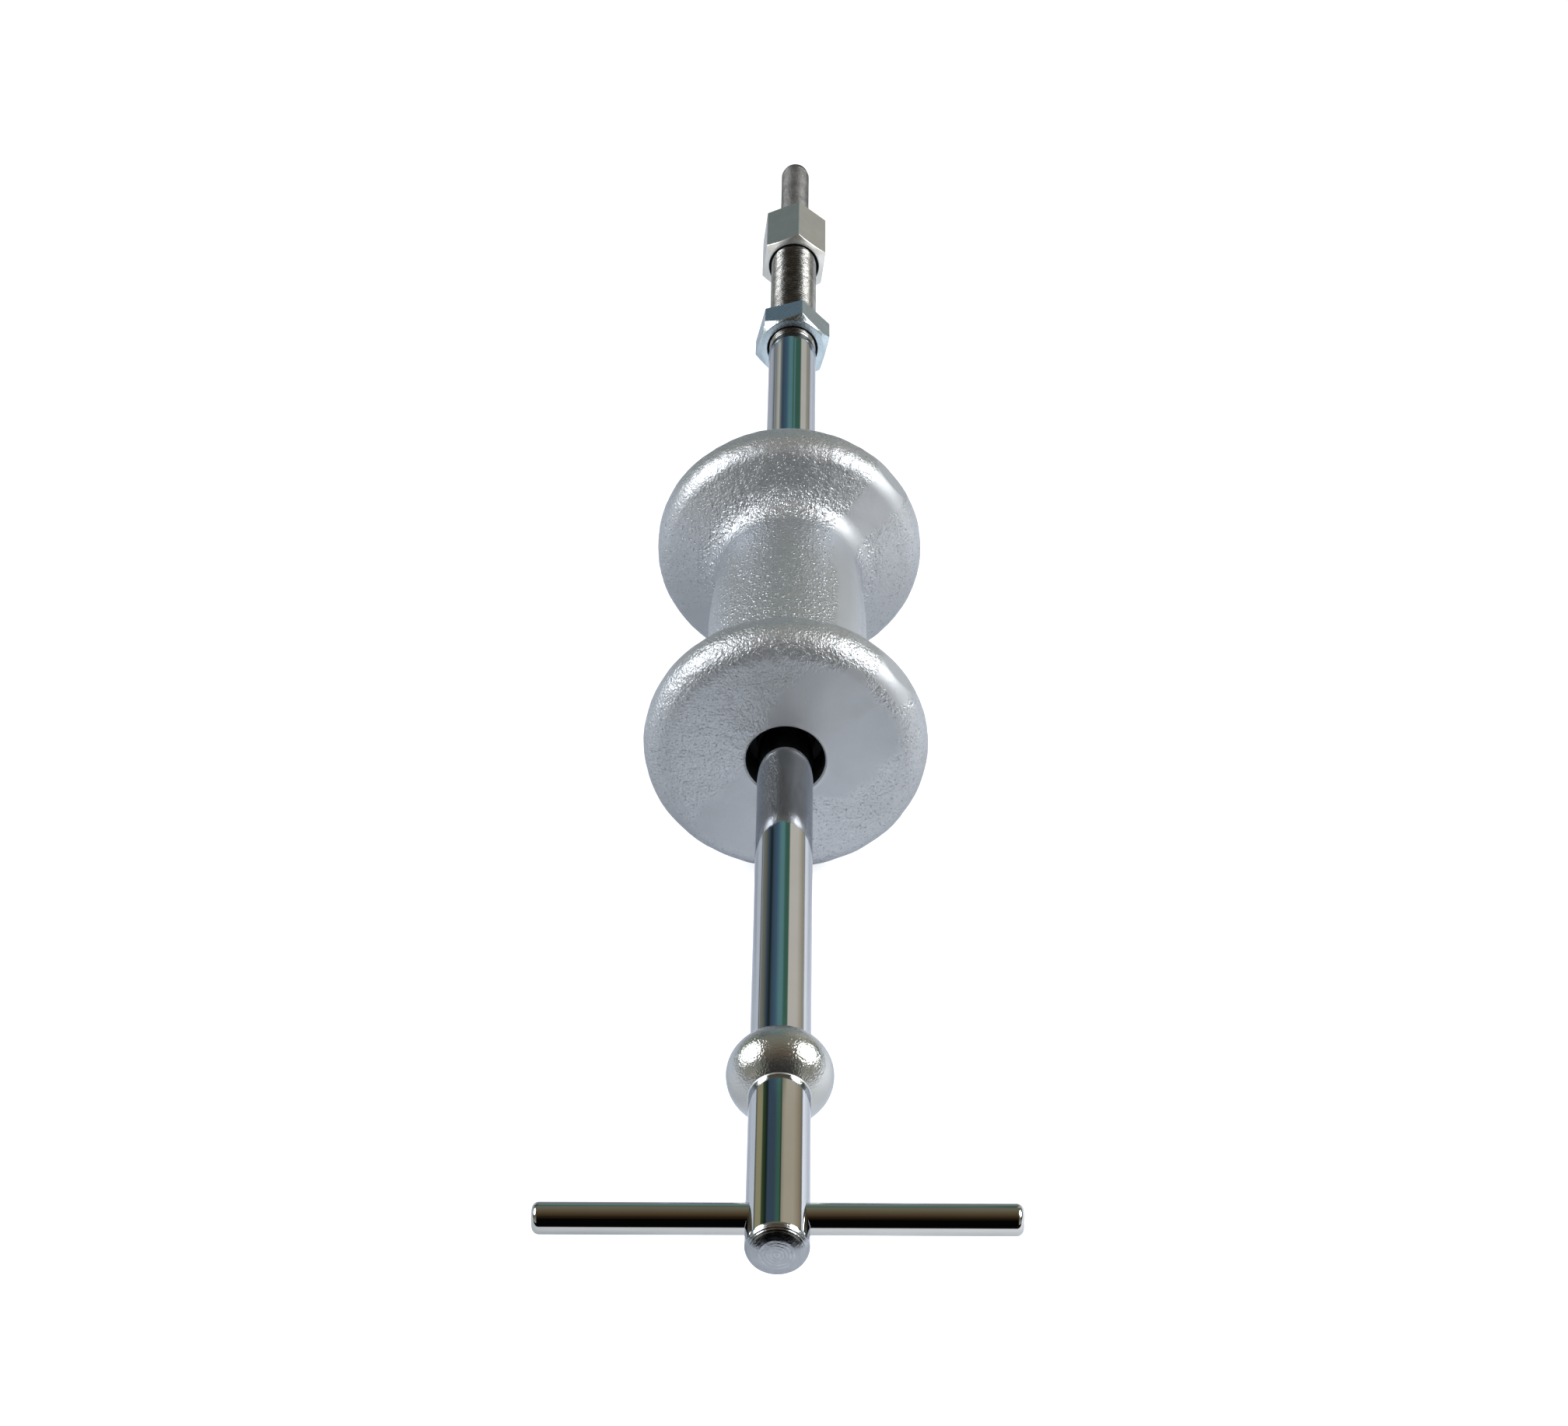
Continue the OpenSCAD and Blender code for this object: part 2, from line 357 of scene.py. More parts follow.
def turned_end_material():
    """Chrome on the rod's turned end: rings left by the tool, under the plating."""
    ring_pitch, ring_depth, wobble_size = 0.95 * MM, 0.009 * MM, 1.4 * MM
    n = Nodes("chrome_turned_end")
    split = n.add("ShaderNodeSeparateXYZ")
    n.join(n.coords, split.inputs[0])
    x = split.outputs["X"]
    z = n.math("SUBTRACT", split.outputs["Z"], AXIS_H * MM)
    radius = n.math("SQRT", n.math("ADD", n.times(x, x), n.times(z, z)))
    wobble = n.times(n.noise(280.0, 2.0), wobble_size)
    ring = n.math("SINE", n.times(n.math("ADD", radius, wobble), 2 * math.pi / ring_pitch))
    uneven = n.times(ring, n.spread(n.noise(300.0, 2.0), 0.1, 1.0, 0.42, 0.6))
    dents = n.noise(900.0, 3.0, 0.6)
    normal = n.bump(uneven, ring_depth, under=n.bump(dents, 0.07 * MM))
    shade = n.mix(n.noise(500.0, 2.0), (0.30, 0.32, 0.35, 1.0), (0.40, 0.42, 0.45, 1.0))
    on_flat = n.spread(radius, 0.34, 0.08, (BEVEL_FLAT_R - 0.3) * MM, (BEVEL_FLAT_R + 0.1) * MM)
    # Painted sheen: the rings' tops on the flat are coloured lighter.
    painted_ring_sheen = n.times(n.spread(uneven, 0.0, 1.0, -0.1, 0.9), on_flat)
    color = n.mix(painted_ring_sheen, shade, (0.60, 0.62, 0.65, 1.0))
    return n.finish(color, n.spread(dents, 0.15, 0.27, 0.3, 0.7), normal)


def casting_material():
    """Silver paint on a rough sand casting, smooth where the parting line was ground off.

    make_weight() paints three attributes on the mesh: ground, where it is smooth, grip, where it has
    raised dots, and relief, how deep its grain is.
    """
    n = Nodes("silver_casting_paint")
    ground = n.attribute("ground")
    rough_part = n.math("SUBTRACT", 1.0, ground)
    grip = n.times(n.attribute("grip"), rough_part)
    grain = n.math("ADD", n.times(n.noise(1200.0, 2.0, 0.55), 0.75), n.times(n.pebbles(1200.0), 0.25))
    fine = n.noise(2100.0, 2.0, 0.6)
    lumps = n.noise(430.0, 2.0, 0.5)
    dots = n.dots(800.0)
    pits = n.spread(n.noise(1400.0, 1.0), 0.0, 1.0, 0.60, 0.72)
    streaks = n.noise(500.0, 2.0, 0.5, stretch=(1.0, 1.0, 0.15))
    tone = n.noise(26.0, 3.0)
    base = n.mix(n.spread(tone, 0.0, 1.0, 0.3, 0.7), (0.402, 0.422, 0.452, 1.0), (0.452, 0.472, 0.502, 1.0))
    painted_glint_color, pit_shade_color = (0.66, 0.67, 0.69, 1.0), (0.20, 0.21, 0.22, 1.0)
    # Painted glints: the fine grain's tops are coloured lighter on the rough parts.
    with_painted_glints = n.mix(n.times(n.spread(fine, 0.0, 0.5, 0.5, 0.75), rough_part), base, painted_glint_color)
    # Painted shade: the pits are coloured darker on the rough parts.
    with_pit_shade = n.mix(n.times(n.times(pits, rough_part), 0.5), with_painted_glints, pit_shade_color)
    strength = n.times(n.spread(rough_part, 0.05, 1.0), n.attribute("relief"))
    normal = n.bump(fine, 0.12 * MM, strength, under=n.bump(lumps, 0.34 * MM, strength))
    normal = n.bump(grain, 0.56 * MM, strength, under=normal)
    normal = n.bump(pits, -0.07 * MM, rough_part, under=normal)
    normal = n.bump(dots, 0.24 * MM, grip, under=normal)
    normal = n.bump(streaks, 0.02 * MM, ground, under=normal)
    matt = n.spread(n.math("ADD", fine, n.times(ground, 0.5)), 0.34, 0.54, 0.35, 1.0)
    roughness = n.math("SUBTRACT", matt, n.times(n.times(dots, grip), 0.14))
    return n.finish(with_pit_shade, roughness, normal, metallic=0.78)


def steel_material(name, dark, light, rough, grain, stretch=(1.0, 1.0, 1.0)):
    """Satin or plated steel with a clouded tone and fine machining marks, grain millimetres deep."""
    n = Nodes(name)
    cloud = n.noise(220.0, 3.0, 0.6)
    marks = n.noise(1600.0, 3.0, 0.65, stretch=stretch)
    color = n.mix(n.spread(cloud, 0.0, 1.0, 0.3, 0.7), dark, light)
    roughness = n.spread(marks, rough - 0.06, rough + 0.08, 0.3, 0.7)
    return n.finish(color, roughness, n.bump(marks, grain * MM))


def bush_black_and_hole_shade_material():
    """Dull black: the bushes' own colour, and painted shade on the insides of the holes."""
    n = Nodes("bush_black_and_hole_shade")
    marks = n.noise(900.0, 3.0)
    color = n.mix(marks, (0.006, 0.006, 0.007, 1.0), (0.016, 0.016, 0.017, 1.0))
    return n.finish(color, n.spread(marks, 0.5, 0.75), n.bump(marks, 0.03 * MM), metallic=0.0)


# ---------- pieces ----------

def cross_hole_cutter():
    """The hole for the bar, with its bevelled mouths, as a solid along X."""
    hole, bevel, over = 4.05, 1.2, 1.0
    outline = [(-ROD_R - over, hole + bevel + over), (-ROD_R + bevel, hole), (ROD_R - bevel, hole),
               (ROD_R + over, hole + bevel + over)]
    cols = 96
    t = angles(cols)
    verts = [[(x, BAR_Y + r * math.cos(a), AXIS_H + r * math.sin(a)) for a in t] for x, r in outline]
    faces = ring_faces(len(outline), cols, (True, True))
    mesh = bpy.data.meshes.new("cutter")
    mesh.from_pydata((np.array(verts).reshape(-1, 3) * MM).tolist(), [], faces)
    mesh.update()
    obj = bpy.data.objects.new("cutter", mesh)
    bpy.context.scene.collection.objects.link(obj)
    return obj


def turned_bevel(steps=72):
    """The bevel on the handle end, from its flat outwards, as (radius, distance along the rod).

    It is drawn by how many degrees it leans in at each place, from the rod's round (t = 0) to the
    flat (t = 1), with the waves of the tool's marks in the middle.
    """
    marks, mark_lean = 7, 16    # how many there are, and how many degrees each adds and takes away
    t = (np.arange(steps) + 0.5) / steps
    lean = np.interp(t, (0.0, 0.04, 0.22, 0.42, 0.66, 1.0), (0, 14, 28, 44, 70, 78))
    tool_marks = mark_lean * np.sin(t * marks * 2 * math.pi)
    tool_marks = tool_marks * smooth(0.16, 0.30, t) * (1 - smooth(0.5, 0.8, t))
    lean = np.radians(lean + tool_marks)
    step = (ROD_R - BEVEL_FLAT_R) / np.sin(lean).sum()
    r = ROD_R - step * np.cumsum(np.sin(lean))
    y = HANDLE_END + step * (np.cos(lean).sum() - np.cumsum(np.cos(lean)))
    start = (ROD_R, HANDLE_END + step * np.cos(lean).sum())
    return list(zip(r, y))[::-1] + [start]


def make_rod(chrome, turned_end, bare_steel):
    """The rod's plain round with its bevelled end and cross hole, and the neck before the thread."""
    cols = 256
    centre_r, past_bevel, past_hole = 0.4, HANDLE_END + 3.4, HANDLE_END + 26
    shoulder, neck_r, core_r = 0.5, 7.4, 6.2
    neck_end = THREAD_Y + THREAD_NECK
    outline = [(centre_r, HANDLE_END)] + turned_bevel()
    outline += [(ROD_R, past_bevel), (ROD_R, past_hole), (ROD_R, THREAD_Y - shoulder),
                (ROD_R - shoulder, THREAD_Y), (neck_r, THREAD_Y + 0.3), (neck_r, neck_end),
                (core_r, neck_end + 0.6)]
    rod = mesh_object("slide_rod_body", lathe(outline, cols).reshape(-1, 3),
                      ring_faces(len(outline), cols, (True, True)),
                      "puller_rod", ("slide_rod",))
    cutter = cross_hole_cutter()
    cut = rod.modifiers.new("hole", "BOOLEAN")
    cut.object = cutter
    cut.solver = "EXACT"
    bpy.context.view_layer.update()
    done = bpy.data.meshes.new_from_object(rod.evaluated_get(bpy.context.evaluated_depsgraph_get()))
    rod.modifiers.clear()
    rod.data = done
    bpy.data.objects.remove(cutter)
    rod.data.shade_smooth()
    rod.data.set_sharp_from_angle(angle=math.radians(25))
    rod.data.materials.clear()
    for material in (chrome, turned_end, bare_steel):
        rod.data.materials.append(material)
    turned_l, bevel_l = 2.45, 2.5
    for poly in rod.data.polygons:
        y = place_on_rod(poly)[1]
        if y < HANDLE_END + turned_l:
            poly.material_index = 1
        elif y > THREAD_Y:
            poly.material_index = 2
    radial_normals(rod, HANDLE_END + bevel_l, THREAD_Y - shoulder)


def make_thread(name, crest, depth, pitch, start, end, tip, bare, body, replaced, material):
    """A 60 degree thread as one helical strip of root, flank and crest, run out at both ends.

    Its first bare millimetres have no thread, and its tip is bevelled over the last tip millimetres.
    """
    cols = 96
    t = angles(cols)
    # The strip's section over one pitch: where its points lie and how high they are
    places = [0.0, 0.08, 0.13, 0.40, 0.44, 0.48, 0.52, 0.56, 0.60, 0.87, 0.92]
    heights = [0.0, 0.0, 0.08, 0.88, 0.97, 1.0, 1.0, 0.97, 0.88, 0.08, 0.0]
    per_turn = len(places)
    turns = int((end - start) / pitch) + 2
    rows = []
    for k in range(-1, turns):
        for w, h in zip(places, heights):
            y = start + (k + w + t / (2 * math.pi)) * pitch
            run_in = smooth(start + bare, start + bare + 0.6 * pitch, y)
            run = run_in * (1 - smooth(end - pitch, end, y) * 0.8)
            r = crest - depth + depth * h * run
            y = np.clip(y, start, end)
            rows.append(around_rod(np.minimum(r, crest - tip + (end - y)), y, t))
    count = len(rows)
    faces = []
    for m in range(count - 1):
        for i in range(cols):
            # Past the last column a row goes on as the row one turn further
            j = (i + 1) % cols
            beside = m + per_turn if j == 0 else m
            if beside + 1 < count:
                faces.append((m * cols + i, beside * cols + j, (beside + 1) * cols + j, (m + 1) * cols + i))
    verts = np.array(rows).reshape(-1, 3)
    disc = around_rod(np.full(cols, crest - depth * 0.8), np.full(cols, end), t)
    faces.append(tuple(len(verts) + i for i in range(cols)))
    obj = mesh_object(name, np.vstack([verts, disc]), faces, body, replaced, sharp=0)
    obj.data.materials.append(material)


def make_collar(material, fillet_highlight_material):
    """The barrel-shaped collar, with dents under its plating and a small fillet against the rod."""
    cols = 160
    top_r, half, rise = 14.0, 9.0, 6.0
    big = (half ** 2 + rise ** 2) / (2 * rise)
    mid = top_r - big

    def at(f):
        """How far from the collar's middle a fillet of radius f has its centre."""
        return math.sqrt((big + f) ** 2 - (ROD_R + f - mid) ** 2)

    def angle(f):
        """The turn in degrees at which the barrel meets that fillet."""
        return math.degrees(math.acos(at(f) / (big + f)))

    near, far = 0.4, 2.6        # the fillets' radii, towards the handle and towards the weight
    clear_of_rod = 0.002
    outline = arc(ROD_R + near, -at(near), near, 180, 90 + angle(near), 10)
    outline += arc(mid, 0, big, angle(near) - 90, 90 - angle(far), 48)
    outline += arc(ROD_R + far, at(far), far, 270 - angle(far), 180, 16)
    outline = [(max(r, ROD_R + clear_of_rod), y + COLLAR_Y) for r, y in outline]
    verts = lathe(outline, cols)
    out = verts - [0, COLLAR_Y, AXIS_H]
    # Dents, all below zero so that the piece stays within its solid, and none next to the rod
    dent = lattice_noise(verts, 5.0, 4) * 0.04 + lattice_noise(verts, 2.2, 5) * 0.015 - 0.08
    dent = dent * smooth(ROD_R + 0.3, ROD_R + 2.5, np.hypot(out[..., 0], out[..., 2]))
    normal = out / np.linalg.norm(out, axis=-1, keepdims=True)
    verts = verts + normal * dent[..., None]
    obj = mesh_object("stop_collar_round", verts.reshape(-1, 3), ring_faces(len(outline), cols),
                      "puller_rod", ("stop_collar",), sharp=50)
    obj.data.materials.append(material)
    obj.data.materials.append(fillet_highlight_material)
    # The near fillet takes the second material, whose lighter colour is a painted highlight along it.
    for poly in obj.data.polygons:
        if poly.center.y / MM < COLLAR_Y - at(near) + near:
            poly.material_index = 1


def make_bar(material):
    """The cross bar with its rounded ends and the nick in the end on the right."""
    half, r, edge, centre_r, end_l, steps = 60.0, 4.0, 1.8, 0.3, 12, 14
    nick_place, nick_size, nick_depth = (59.2, BAR_Y - 2.2, AXIS_H + 1.2), 0.7, 0.35
    outline = [(centre_r, -half)] + arc(r - edge, -half + edge, edge, -90, 0, steps)
    outline += [(r, -half + end_l), (r, half - end_l)]
    outline += arc(r - edge, half - edge, edge, 0, 90, steps) + [(centre_r, half)]
    cols = 128
    t = angles(cols)
    verts = np.array([[(x, BAR_Y + q * math.sin(a), AXIS_H + q * math.cos(a)) for a in t]
                      for q, x in outline])
    from_nick = np.linalg.norm(verts - nick_place, axis=-1)
    verts[..., 0] -= nick_depth * np.exp(-(from_nick / nick_size) ** 2)
    faces = [tuple(reversed(f)) for f in ring_faces(len(outline), cols, (True, True))]
    obj = mesh_object("tommy_bar_round", verts.reshape(-1, 3), faces,
                      "tommy_bar", ("tommy_bar",), sharp=50)
    obj.data.materials.append(material)


def weight_outline(step):
    """The weight's section: half of it from inside the hole to the middle of the grip, then mirrored."""
    # Radii of the flanges and of both ends and the middle of the grip, the rims' rounding and width
    flange_r, neck, grip, edge, thick = 41.25, 22.3, 24.1, 8.5, 18.4
    mouth, hole_l = 0.5, 14.0   # the bevel at the hole's mouth, and how far in the hole is drawn
    fillet, slope = 8.0, 26.5   # between flange and grip, and how many degrees the flanges lean
    mid = WEIGHT_L / 2
    rim = flange_r - edge
    turn = math.radians(slope)
    fillet_y = thick - edge + (edge + fillet + (rim - neck - fillet) * math.sin(turn)) / math.cos(turn)
    half_l = mid - fillet_y
    big = (half_l ** 2 + (grip - neck) ** 2) / (2 * (grip - neck))
    swell = math.degrees(math.asin(half_l / big))
    half = [(WEIGHT_HOLE_R, hole_l), (WEIGHT_HOLE_R, mouth), (WEIGHT_HOLE_R + mouth, 0.0), (rim, 0.0)]
    half += arc(rim, edge, edge, -90, 0, 24)[1:]
    half += arc(rim, thick - edge, edge, 0, 90 - slope, 24)
    half += arc(neck + fillet, fillet_y, fillet, 270 - slope, 180, 20)
    half += arc(grip - big, mid, big, -swell, 0, 30)[1:]
    whole = half + [(r, WEIGHT_L - y) for r, y in reversed(half[:-1])]
    return [(r, y + WEIGHT_Y) for r, y in spaced(whole, step)]


def distance_to(polygon, u, v):
    """How far points lie inside a polygon, below zero outside it."""
    best = np.full(u.shape, 1e9)
    inside = np.zeros(u.shape, bool)
    for (ax, ay), (bx, by) in zip(polygon, polygon[1:] + polygon[:1]):
        ex, ey = bx - ax, by - ay
        t = np.clip(((u - ax) * ex + (v - ay) * ey) / (ex * ex + ey * ey), 0, 1)
        best = np.minimum(best, np.hypot(u - ax - t * ex, v - ay - t * ey))
        crosses = (ay > v) != (by > v)
        inside ^= crosses & (u < (bx - ax) * (v - ay) / (by - ay + 1e-12) + ax)
    return np.where(inside, best, -best)


def from_parting(verts):
    """How far points lie from the rod's axis along the parting plane (u) and away from it (v)."""
    x, z = verts[..., 0], verts[..., 2] - AXIS_H
    return x * math.cos(PARTING) + z * math.sin(PARTING), -x * math.sin(PARTING) + z * math.cos(PARTING)


# The two patches that are ground smooth on the weight's face, as corners (u, v)
UPPER_PATCH = [(4.5, 13.4), (22, 20.5), (35.4, 11.3), (34, -8), (28, -16.5), (6.2, -20.3), (-2.3, -17.1),
               (-6, -10)]
LOWER_PATCH = [(-11, 6), (-30.8, 2.7), (-34, -6), (-27, -19.5), (-12, -16), (-9, -4)]


def make_weight(material, hole_shade_material):
    """The cast weight, with its ground patches and bands, and the unevenness of a casting."""
    cols = 480
    outline = weight_outline(0.65)
    verts = lathe(outline, cols)
    y, r = verts[..., 1], np.hypot(verts[..., 0], verts[..., 2] - AXIS_H)
    u, v = from_parting(verts)
    warp = lattice_noise(verts, 9.0, 11) * 2.4 + lattice_noise(verts, 3.0, 12) * 1.2
    upper_patch = smooth(-1.4, 1.8, distance_to(UPPER_PATCH, u, v) + warp) * 0.96
    lower_patch = smooth(-2.0, 2.6, distance_to(LOWER_PATCH, u, v) + warp) * 0.84
    # The bands along the parting line, wider on the right than on the left and widest on the rims
    right_half, left_half, middle, rim_r, face_l = 6.5, 5.0, 0.5, 36, 2.0
    band = np.where(u > 0, right_half, left_half) - np.abs(v - middle) + warp * 0.35
    band = np.where(r > rim_r, band, band - 0.5)
    on_face = (y < WEIGHT_Y + face_l) & (r < rim_r + 1)
    ground = np.where(on_face, np.maximum(upper_patch, lower_patch), smooth(-0.8, 1.2, band) * 0.96)
    ground[r < WEIGHT_HOLE_R + 0.1] = 0
    # The raised dots and the depth of the grain, which change from the grip to the flanges' slopes
    rim_l = 8
    inner = (y > WEIGHT_Y + rim_l) & (y < WEIGHT_Y + WEIGHT_L - rim_l)
    grip = np.where(inner, 1 - smooth(24.5, 29.5, r) * 0.9, 0.1)
    relief = np.where(inner, 0.68 + 0.24 * smooth(24.6, 26.2, r) - 0.56 * smooth(27.4, 30.5, r), 0.72)
    # Casting waves, pulled inwards so that the piece stays within its solid
    wave = lattice_noise(verts, 15.0, 1) * 0.16 + lattice_noise(verts, 5.0, 2) * 0.09
    grain = lattice_noise(verts, 1.5, 3) * 0.07
    pulled_in = 0.28
    depth = (pulled_in - wave - grain * (1 - ground)) * smooth(WEIGHT_HOLE_R, WEIGHT_HOLE_R + 1.5, r)
    along = np.gradient(np.array(outline), axis=0)
    normal = np.stack([along[:, 1], -along[:, 0]], 1)
    normal /= np.linalg.norm(normal, axis=1, keepdims=True)
    theta = angles(cols)[None, :]
    nr, ny = normal[:, 0:1], normal[:, 1:2]
    n3 = np.stack([nr * np.sin(theta), ny + 0 * theta, nr * np.cos(theta)], -1)
    verts = verts - n3 * depth[..., None]
    # Flats that the grinding left on both rims
    left_flat, right_flat = -40.35, 40.25
    u, v = from_parting(verts)
    u = np.clip(u, left_flat, right_flat)
    verts[..., 0] = u * math.cos(PARTING) - v * math.sin(PARTING)
    verts[..., 2] = u * math.sin(PARTING) + v * math.cos(PARTING) + AXIS_H
    obj = mesh_object("hammer_weight_casting", verts.reshape(-1, 3), ring_faces(len(outline), cols),
                      "hammer_weight", ("hammer_weight",), sharp=40)
    for layer_name, values in (("ground", ground), ("grip", grip), ("relief", relief)):
        layer = obj.data.attributes.new(layer_name, "FLOAT", "POINT")
        layer.data.foreach_set("value", values.reshape(-1))
    obj.data.materials.append(material)
    obj.data.materials.append(hole_shade_material)
    # The hole's wall takes the black: painted shade down the hole.
    for poly in obj.data.polygons:
        r, y = place_on_rod(poly)
        if r < WEIGHT_HOLE_R + 0.12 and WEIGHT_Y + 0.3 < y < WEIGHT_Y + WEIGHT_L - 0.3:
            poly.material_index = 1


def make_hex(name, af, near, length, bevel_l, bevel_deg, turn_deg, edge, bore, mouth, depth, far_mouth,
             body, replaced, material, hole_shade_material):
    """A hexagon with coned corners, softened edges and a bevelled, threaded hole.

    It is af across its flats, and its hole is depth deep from the end at near. A hole that doesn't
    go through leaves room for the stud's bevelled mouth, of radius far_mouth, in the other end.
    """
    cols = 360
    thread_depth, thread_step = 0.55, 0.16
    mouth_margin, far_margin = 0.12, 0.1
    through = depth >= length
    t = angles(cols)
    corner = af / 2 / math.cos(math.pi / 6)
    turn = math.radians(turn_deg)
    flats = [af / 2 / np.maximum(np.cos(t - turn - math.pi / 6 - k * math.pi / 3), 0.2) for k in range(6)]
    hexagon = flats[0]
    for f in flats[1:]:
        hexagon = soft_min(hexagon, f, edge)
    first, last = bevel_l + 1, length - bevel_l - 1
    rows = np.r_[np.linspace(0, first, 40), np.linspace(first, last, 14)[1:],
                 np.linspace(last, length, 30)[1:]]
    slope = math.tan(math.radians(bevel_deg))
    lip = edge * 0.8
    shell = []
    for s in rows:
        r = soft_min(hexagon, corner - bevel_l / slope + s / slope + 0 * t, edge)
        for from_end in (s, length - s):
            r = r - lip * (1 - math.sqrt(1 - (1 - min(from_end / lip, 1)) ** 2))
        shell.append(around_rod(r, near + s + 0 * t, t))
    inner = []
    for s in np.arange(0, depth + 0.01, thread_step):
        w = (s / THREAD_PITCH - t / (2 * math.pi)) % 1.0
        r = bore + thread_depth * np.interp(w, [0, 0.4, 0.6, 1], [0, 1, 1, 0])
        r = np.maximum(r, bore + mouth - s)
        inner.append(around_rod(r, near + s + 0 * t, t))
    if far_mouth:
        shell += [around_rod(far_mouth + 0 * t, near + length + 0 * t, t),
                  around_rod(0.5 * far_mouth + 0 * t, near + length - 0.5 * far_mouth + 0 * t, t)]
    verts = np.array(inner[::-1] + shell)
    faces = ring_faces(len(verts), cols, (not through, not through))
    if through:
        a = (len(verts) - 1) * cols
        faces += [(a + i, a + (i + 1) % cols, (i + 1) % cols, i) for i in range(cols)]
    obj = mesh_object(name, verts.reshape(-1, 3), faces, body, replaced, sharp=40)
    obj.data.materials.append(material)
    obj.data.materials.append(hole_shade_material)
    # The threaded hole, its mouth and the far end's recess take the black: painted shade in the hole.
    for poly in obj.data.polygons:
        r, y = place_on_rod(poly)
        in_hole = r < bore + mouth - mouth_margin and y < near + depth
        if in_hole or r < far_mouth - far_margin:
            poly.material_index = 1


# ---------- surroundings ----------

# The room's colours as they look in the chrome, on the screen's scale from 0 to 255
SHEET, SHEET_EDGE = (190, 196, 204), (178, 184, 191)
CREAM, SAND, CLAY, KHAKI = (174, 170, 160), (154, 146, 129), (131, 118, 99), (134, 130, 112)
OLIVE, MOSS, FERN, PINE = (134, 129, 100), (50, 66, 40), (54, 86, 73), (20, 30, 26)
TEAL, DENIM, SLATE = (80, 116, 117), (60, 84, 101), (52, 66, 79)
STEEL, DUSK, BARK, SOOT, BLACK = (108, 114, 110), (96, 94, 80), (78, 66, 48), (40, 30, 19), (4, 4, 4)


def add_floor():
    """A grey sheet that the object stands on.

    The camera sees it white, with the object's shadow. In the chrome it is a sheet of paper that is
    paler to the right, a painted pool of light, and ends at its front edge, with black past it.
    """
    half = 12.0
    below_ground = 0.0006
    paper_start, paper_full = -0.395, -0.375
    mesh = bpy.data.meshes.new("floor")
    corners = [(-half, -half, 0), (half, -half, 0), (half, half, 0), (-half, half, 0)]
    mesh.from_pydata(corners, [], [(0, 1, 2, 3)])
    floor = bpy.data.objects.new("floor", mesh)
    floor.location = (0, 0, -below_ground)
    bpy.context.scene.collection.objects.link(floor)
    n = Nodes("floor_paper")
    path = n.add("ShaderNodeLightPath")
    split = n.add("ShaderNodeSeparateXYZ")
    n.join(n.coords, split.inputs[0])
    to_camera, to_mirror = path.outputs["Is Camera Ray"], path.outputs["Is Glossy Ray"]
    paper = n.spread(split.outputs["Y"], 0.0, 1.0, paper_start, paper_full)
    # Paler to the right: a painted pool of light on the paper, in its colour and in its glow in the chrome.
    to_right = n.spread(split.outputs["X"], 0.0, 1.0, -0.15, 0.12)
    sheet = n.mix(to_right, (0.55, 0.59, 0.65, 1.0), (0.80, 0.83, 0.89, 1.0))
    shade = n.mix(n.math("MAXIMUM", paper, to_camera), (0.003, 0.003, 0.003, 1.0), sheet)
    n.finish(n.mix(to_camera, shade, (0.5, 0.5, 0.5, 1.0)), 0.9, metallic=0.0)
    n.bsdf.inputs["Specular IOR Level"].default_value = 0.0
    n.bsdf.inputs["Emission Color"].default_value = (0.95, 0.97, 1, 1)
    # The glow that makes it white grows with the square of the distance from the middle
    x2, y2 = (n.times(split.outputs[axis], split.outputs[axis]) for axis in ("X", "Y"))
    glow = n.spread(n.math("ADD", x2, y2), 0.8, 1.06, 0.3, 2.5)
    seen = n.times(to_camera, glow)
    mirrored = n.times(n.times(to_mirror, paper), n.spread(to_right, 0.08, 0.16))
    n.join(n.math("ADD", seen, mirrored), n.bsdf.inputs["Emission Strength"])
    floor.data.materials.append(n.material)


def ramp(tree, value, stops):
    """The room's colours at turns from -180 to 180 degrees, for a value from 0 to 1."""
    chrome_reflects = 0.56
    node = tree.nodes.new("ShaderNodeValToRGB")
    elements = node.color_ramp.elements
    places = [((deg + 180) / 360, linear(*rgb, gain=1 / chrome_reflects)) for deg, rgb in stops]
    elements[0].position, elements[0].color = places[0]
    elements[1].position, elements[1].color = places[-1]
    for position, color in places[1:-1]:
        elements.new(position).color = color
    tree.links.new(value, node.inputs["Fac"])
    return node.outputs["Color"]


